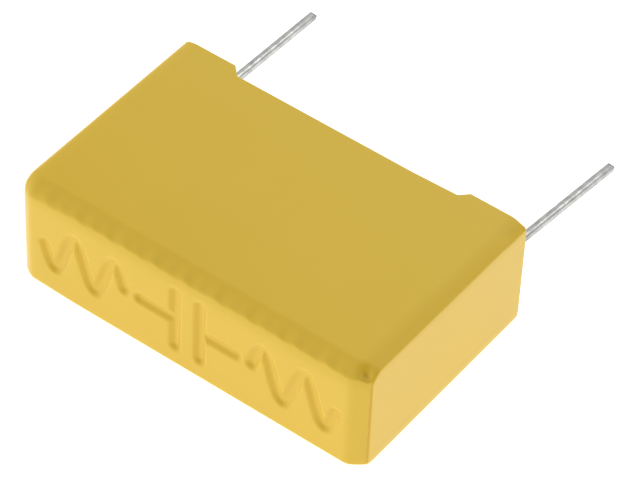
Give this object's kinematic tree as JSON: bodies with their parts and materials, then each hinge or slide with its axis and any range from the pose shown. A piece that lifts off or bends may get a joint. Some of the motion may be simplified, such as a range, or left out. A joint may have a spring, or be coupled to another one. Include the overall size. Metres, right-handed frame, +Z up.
{
  "type": "box film capacitor",
  "caption": "Boxed metallised film capacitor with rounded plastic case, stand-off feet, resin-sealed base and radial tinned wire leads.",
  "frame": {"origin": "on the resting broad face, under the middle of the case", "axes": "+X along the case, +Y the way the leads leave it, +Z up through its thickness"},
  "size_m": [0.0264, 0.0278, 0.0085],
  "materials": {
    "case_plastic": "moulded yellow PBT with a fine satin gloss",
    "resin": "cast resin, smooth and slightly dull",
    "film": "metallised polypropylene film, wound and pressed flat",
    "sprayed_zinc": "sprayed zinc, grey and rough",
    "tinned_wire": "bright tinned copper wire"
  },
  "bodies": {
    "root": {"case": "case_plastic", "potting_resin": "resin", "film_winding": "film", "end_spray_left": "sprayed_zinc", "end_spray_right": "sprayed_zinc", "lead_left": "tinned_wire", "lead_right": "tinned_wire"}
  },
  "joints": []
}
